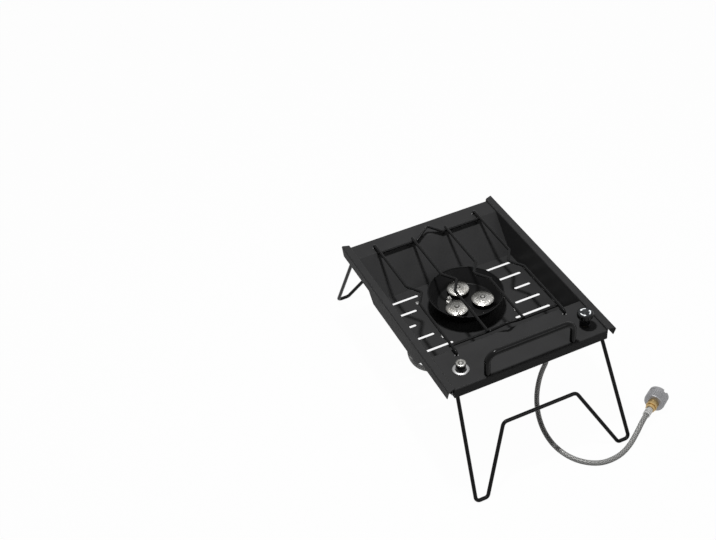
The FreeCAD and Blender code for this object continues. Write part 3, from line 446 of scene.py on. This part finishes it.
def lathe(bm, profile, turn, segments=96, relief=None):
    """Adds a solid of revolution: (radius, height) points round the turn matrix's Z axis."""
    loops = []
    for radius, height in profile:
        if radius == 0:
            loops.append([bm.verts.new(turn @ Vector((0, 0, height)))])
            continue
        ring = []
        for k in range(segments):
            angle = 2 * math.pi * k / segments
            r, h = relief(radius, height, k) if relief else (radius, height)
            ring.append(bm.verts.new(turn @ Vector((r * math.cos(angle), r * math.sin(angle), h))))
        loops.append(ring)
    for low, high in zip(loops, loops[1:]):
        for k in range(segments):
            n = (k + 1) % segments
            if len(low) == 1 and len(high) == 1:
                continue
            if len(low) == 1:
                bm.faces.new((low[0], high[k], high[n]))
            elif len(high) == 1:
                bm.faces.new((low[k], low[n], high[0]))
            else:
                bm.faces.new((low[k], low[n], high[n], high[k]))


def middle(name):
    low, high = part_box(name)
    return (low + high) / 2, low, high


def burner_caps():
    """Pressed and turned caps: a slitted dome with a ring groove, a boss and a foot ring below."""
    steps = 6

    def relief(radius, height, k):
        if SLIT_INNER < radius < SLIT_OUTER and k % steps < 2:
            return radius, height - SLIT_DEPTH
        return radius, height

    for name in ("rear", "left", "right"):
        node = "burner_cap_" + name
        mid, low, high = middle(node)
        rim = (high.x - low.x) / 2
        edge = CAP_EDGE
        crest = high.z - low.z - CAP_BOSS
        dome = crest - edge
        profile = [(0, 0), (CAP_FOOT, 0), (CAP_FOOT, CAP_SEAT), (rim, CAP_SEAT)]
        profile += [(rim, edge - 0.6 * MM), (rim - 0.2 * MM, edge - 0.15 * MM), (rim - 0.7 * MM, edge)]
        for share in (0.95, 0.945, 0.9, 0.84, 0.78, 0.72, 0.66, 0.6, 0.595, 0.56):
            profile.append((rim * share, edge + dome * math.sqrt(max(0.0, 1 - share * share))))
        groove = edge + dome * math.sqrt(1 - 0.53**2)
        profile += [(rim * 0.55, groove - 0.25 * MM), (rim * 0.5, groove - 0.25 * MM)]
        profile += [(rim * 0.49, groove + 0.1 * MM), (rim * 0.36, crest - 0.35 * MM)]
        profile += [(rim * 0.27, crest - 0.1 * MM), (rim * 0.26, crest - 0.4 * MM)]
        profile += [(rim * 0.2, crest - 0.4 * MM), (rim * 0.18, crest)]
        profile += [(rim * 0.16, crest + 0.75 * MM), (rim * 0.14, crest + CAP_BOSS)]
        profile += [(rim * 0.07, crest + CAP_BOSS), (rim * 0.05, crest + 0.5 * MM), (0, crest + 0.5 * MM)]
        bm = bmesh.new()
        lathe(bm, profile, Matrix.Translation((mid.x, mid.y, low.z)), SLITS * steps, relief)
        steel = heated_steel_with_painted_shade("cap_steel_" + name, (mid.x, mid.y, 0))
        piece = mesh_piece("cap_" + name, bm, steel, "stove")
        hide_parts(node)


def knob_top():
    """The knob's top plate and its three raised white arrows, curved round the middle."""
    mid, low, high = middle("valve_knob_disc")
    radius = (high.x - low.x) / 2
    top = high.z - 0.35 * MM
    bm = bmesh.new()
    profile = [(0, low.z), (radius, low.z), (radius, high.z - 0.1 * MM), (radius - 0.4 * MM, high.z)]
    profile += [(radius - 0.8 * MM, top), (1.6 * MM, top), (1.3 * MM, top + 0.2 * MM), (0, top + 0.25 * MM)]
    lathe(bm, profile, Matrix.Translation((mid.x, mid.y, 0)), 96)
    lacquer = moulded("knob_plate", (0.014, 0.0155, 0.017), 0.32, 0.15)
    plate = mesh_piece("knob_plate", bm, lacquer, "valve_knob")
    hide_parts("valve_knob_disc")
    bm = bmesh.new()
    for tail in ARROW_TAILS:
        outline = []
        steps = 12
        for k in range(steps + 1):
            outline.append((ARROW_RADIUS + ARROW_HALF, tail + ARROW_SWEEP * k / steps))
        outline += [(ARROW_RADIUS + ARROW_HEAD, tail + 52), (ARROW_RADIUS, tail + 77)]
        outline += [(ARROW_RADIUS - ARROW_HEAD, tail + 52)]
        for k in range(steps + 1):
            outline.append((ARROW_RADIUS - ARROW_HALF, tail + ARROW_SWEEP * (steps - k) / steps))
        levels = []
        for z in (top - 0.1 * MM, top + 0.3 * MM):
            level = []
            for r, degrees in outline:
                angle = math.radians(degrees)
                x = mid.x + r * math.cos(angle)
                y = mid.y + r * math.sin(angle)
                level.append(bm.verts.new((x, y, z)))
            levels.append(level)
        bm.faces.new(levels[1])
        bm.faces.new(list(reversed(levels[0])))
        count = len(outline)
        for k in range(count):
            n = (k + 1) % count
            bm.faces.new((levels[0][k], levels[0][n], levels[1][n], levels[1][k]))
    white = moulded("white_print", (0.74, 0.76, 0.77), 0.4)
    mesh_piece("knob_arrows", bm, white, "valve_knob")


def igniter_top():
    """The igniter's pressed cap: a knurled edge, a dished face and a raised middle."""
    mid, low, high = middle("igniter_cap")
    radius = (high.x - low.x) / 2
    tall = high.z - low.z

    def relief(r, h, k):
        if r > radius - 0.05 * MM and k % 4 < 2:
            return r - 0.35 * MM, h
        return r, h

    profile = [(0, 0), (radius * 0.93, 0), (radius * 0.93, 0.4 * MM), (radius, 0.5 * MM)]
    profile += [(radius, tall - 1.0 * MM), (radius * 0.94, tall - 0.3 * MM), (radius * 0.86, tall)]
    profile += [(radius * 0.74, tall), (radius * 0.70, tall - 0.6 * MM), (radius * 0.5, tall - 0.7 * MM)]
    profile += [(radius * 0.46, tall - 0.25 * MM), (radius * 0.3, tall - 0.2 * MM)]
    profile += [(radius * 0.26, tall - 0.8 * MM), (0, tall - 0.85 * MM)]
    bm = bmesh.new()
    lathe(bm, profile, Matrix.Translation((mid.x, mid.y, low.z)), 120, relief)
    steel = heated_steel_with_painted_shade("igniter_cap_steel", (mid.x, mid.y, 0))
    piece = mesh_piece("igniter_top", bm, steel, "igniter_button")
    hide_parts("igniter_cap")


def weld_beads():
    """A small uneven bead of weld on both sides of each crossing of the grate."""
    spread = random.Random(7)
    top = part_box("grate_wire_outer_right")[1].z
    height = top - GRATE_WIRE + 0.2 * MM
    bm = bmesh.new()
    for x in GRATE_LINES:
        for y in (RECESS_MID - CROSS_FROM_MID, RECESS_MID + CROSS_FROM_MID):
            for side in (-1, 1):
                place = Vector((x + side * GRATE_WIRE * 0.42, y, height))
                ball = bmesh.ops.create_icosphere(bm, subdivisions=3, radius=1.0)
                for vert in ball["verts"]:
                    swell = 1 + spread.uniform(-BEAD_SWELL, BEAD_SWELL)
                    vert.co = Vector(a * b for a, b in zip(vert.co, BEAD_SIZE)) * swell + place
    bead = powder_coat("weld_coat", (0.010, 0.010, 0.0105), 0.4, 2200, WIRE_SHEEN)
    mesh_piece("weld_beads", bm, bead, "pot_grate", 80)


def connector_grip():
    """The connector's collar with a knurled grip band, grooves and a bayonet mouth."""
    place = CONNECTOR_START + CONNECTOR_AXIS * 0.028
    turn = CONNECTOR_AXIS.to_track_quat("Z", "Y").to_matrix().to_4x4()
    turn = Matrix.Translation(place) @ turn
    radius = 15.9 * MM
    long = 22 * MM
    mouth = 12.5 * MM

    def relief(r, h, k):
        if r > radius - 0.02 * MM and 3 * MM < h < 14.5 * MM and k % 6 < 3:
            return r - 0.8 * MM, h
        if h > long - 3.6 * MM and r > mouth + 0.2 * MM and k % 60 < 11:
            return r, h - 3.4 * MM
        return r, h

    profile = [(3.1 * MM, 0), (12.0 * MM, 0), (15.0 * MM, 0.5 * MM), (15.3 * MM, 1.4 * MM)]
    profile += [(15.3 * MM, 3.0 * MM), (radius, 3.2 * MM), (radius, 14.2 * MM), (15.2 * MM, 14.6 * MM)]
    profile += [(15.2 * MM, 16.6 * MM), (15.7 * MM, 17.0 * MM), (15.7 * MM, 21.6 * MM), (15.3 * MM, long)]
    profile += [(12.9 * MM, long), (mouth, long - 0.4 * MM), (mouth, 8 * MM), (3.1 * MM, 8 * MM)]
    profile.append(profile[0])
    bm = bmesh.new()
    lathe(bm, profile, turn, 180, relief)
    bmesh.ops.remove_doubles(bm, verts=bm.verts, dist=0.001 * MM)
    cast = metal("cast_grip", (0.34, 0.34, 0.35), 0.42, grain=900)
    piece = mesh_piece("connector_grip", bm, cast, "stove")
    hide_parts("connector_collar")
    return piece


def hose(grip):
    line = smooth_line("hose_line", HOSE_POINTS)
    path, length = even_line(line, 2 * MM)
    piece = tube_mesh("braided_hose", path, HOSE_DIAMETER / 2, 24, length)
    dress(piece, braid_material())
    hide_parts("gas_hose")
    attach(piece, "stove")


def finishes():
    """Every CAD node that stays gets its finish."""
    coat = powder_coat("black_powder_coat", (0.025, 0.025, 0.0254), 0.40, 900, 0.03)
    wire = powder_coat("black_wire_coat", (0.004, 0.004, 0.0042), 0.20, 1300, WIRE_SHEEN)
    steel = metal("bright_zinc", (0.62, 0.62, 0.61), 0.28)
    head = metal("turned_stainless", (0.5, 0.49, 0.47), 0.28)
    cast = metal("cast_alloy", (0.4, 0.4, 0.41), 0.5, grain=900)
    brass = metal("machined_brass", (0.62, 0.44, 0.2), 0.34)
    chrome = metal("satin_chrome", (0.30, 0.30, 0.30), 0.36, 1800, 0.03, 0.1)
    by_slot = {
        "tray_black": coat,
        "wire_black": wire,
        "steel": steel,
        "head_steel": head,
        "cast_alloy": cast,
        "brass": brass,
        "ceramic": moulded("glazed_ceramic", (0.8, 0.79, 0.75), 0.25, 0.5),
        "lead_black": moulded("silicone_lead", (0.02, 0.02, 0.02), 0.5),
        "rubber": moulded("nitrile_seal", (0.02, 0.02, 0.02), 0.6),
        "knob_dark": moulded("knob_lacquer", (0.005, 0.0053, 0.0055), 0.25, 0.15),
        "plastic_black": moulded("black_moulding", (0.006, 0.006, 0.006), 0.3, 0.2),
        "chrome": chrome,
        "braid": steel,
    }
    for part in frame["record"]["subparts"]:
        dress(nodes[part["node"]], by_slot[part["material_slot"]])
    dark_zinc = metal("black_zinc", (0.06, 0.06, 0.062), 0.35)
    for name in ("valve_nut", "front_leg_push_nuts", "rear_leg_push_nuts"):
        dress(nodes[name], dark_zinc)
    # The cup wears a darker copy of the tray's coat: painted shade for the cup's shaded inside.
    dress(nodes["burner_cup"], powder_coat("cup_coat_painted_shade", (0.007, 0.007, 0.0072), 0.36, 900, 0.06))


def camera():
    """The photograph's camera, from its angles round the target."""
    level = Vector((math.sin(CAMERA_AZIMUTH), -math.cos(CAMERA_AZIMUTH), 0)) * math.cos(CAMERA_ELEVATION)
    back = level + Vector((0, 0, math.sin(CAMERA_ELEVATION)))
    right = (-back).cross(Vector((0, 0, 1))).normalized()
    up = right.cross(-back)
    turned_right = right * math.cos(CAMERA_ROLL) + up * math.sin(CAMERA_ROLL)
    turned_up = up * math.cos(CAMERA_ROLL) - right * math.sin(CAMERA_ROLL)
    data = bpy.data.cameras.new("camera")
    data.lens = CAMERA_LENS
    data.sensor_width = CAMERA_SENSOR
    data.clip_start = 0.05
    eye = bpy.data.objects.new("camera", data)
    scene.collection.objects.link(eye)
    turn = Matrix((turned_right, turned_up, back)).transposed().to_4x4()
    eye.matrix_world = Matrix.Translation(CAMERA_TARGET + back * CAMERA_DISTANCE) @ turn
    scene.camera = eye


def lamp(name, place, target, size, power):
    data = bpy.data.lights.new(name, "AREA")
    data.shape = "RECTANGLE"
    data.size, data.size_y = size
    data.energy = power
    light = bpy.data.objects.new(name, data)
    scene.collection.objects.link(light)
    light.location = place
    light.rotation_mode = "QUATERNION"
    light.rotation_quaternion = (Vector(target) - Vector(place)).to_track_quat("-Z", "Y")


def studio():
    world = bpy.data.worlds.new("studio")
    world.use_nodes = True
    scene.world = world
    tree = world.node_tree
    plain = tree.nodes["Background"]
    plain.inputs["Color"].default_value = (1, 1, 1, 1)
    plain.inputs["Strength"].default_value = WORLD_LIGHT
    shown = tree.nodes.new("ShaderNodeBackground")
    shown.inputs["Color"].default_value = (1, 1, 1, 1)
    shown.inputs["Strength"].default_value = 1.0
    blend_shaders(tree, plain, shown, tree.nodes["World Output"], 1.0)
    bpy.ops.mesh.primitive_plane_add(size=12, location=(0, 0, -0.0002))
    floor = bpy.context.object
    floor.name = "floor"
    material = bpy.data.materials.new("pale_floor")
    material.use_nodes = True
    tree = material.node_tree
    plain = tree.nodes["Principled BSDF"]
    plain.inputs["Base Color"].default_value = (0.5, 0.5, 0.5, 1)
    plain.inputs["Roughness"].default_value = 0.9
    shown = tree.nodes.new("ShaderNodeEmission")
    shown.inputs["Strength"].default_value = 1.0
    blend_shaders(tree, plain, shown, tree.nodes["Material Output"], FLOOR_WHITE)
    floor.data.materials.append(material)
    lamp("key", (-0.067, 0.0, 1.09), (0, 0.05, 0.15), (0.09, 0.09), 11.5)
    lamp("front_light", (0.55, -1.45, 1.39), (0, 0.1, 0.14), (0.9, 0.7), 6.0)


def blend_shaders(tree, plain, shown, output, share):
    """The shown shader for camera, glossy and transmission rays, by a share, over the plain one."""
    path = tree.nodes.new("ShaderNodeLightPath")
    any_ray = None
    for ray in ("Is Camera Ray", "Is Glossy Ray", "Is Transmission Ray"):
        if any_ray is None:
            any_ray = path.outputs[ray]
            continue
        most = tree.nodes.new("ShaderNodeMath")
        most.operation = "MAXIMUM"
        tree.links.new(any_ray, most.inputs[0])
        tree.links.new(path.outputs[ray], most.inputs[1])
        any_ray = most.outputs["Value"]
    part = tree.nodes.new("ShaderNodeMath")
    part.operation = "MULTIPLY"
    part.inputs[1].default_value = share
    tree.links.new(any_ray, part.inputs[0])
    blend = tree.nodes.new("ShaderNodeMixShader")
    tree.links.new(part.outputs["Value"], blend.inputs[0])
    tree.links.new(plain.outputs[0], blend.inputs[1])
    tree.links.new(shown.outputs[0], blend.inputs[2])
    tree.links.new(blend.outputs[0], output.inputs["Surface"])


camera()
finishes()
burner_caps()
knob_top()
igniter_top()
weld_beads()
hose(connector_grip())
studio()
scene.view_settings.view_transform = "Standard"
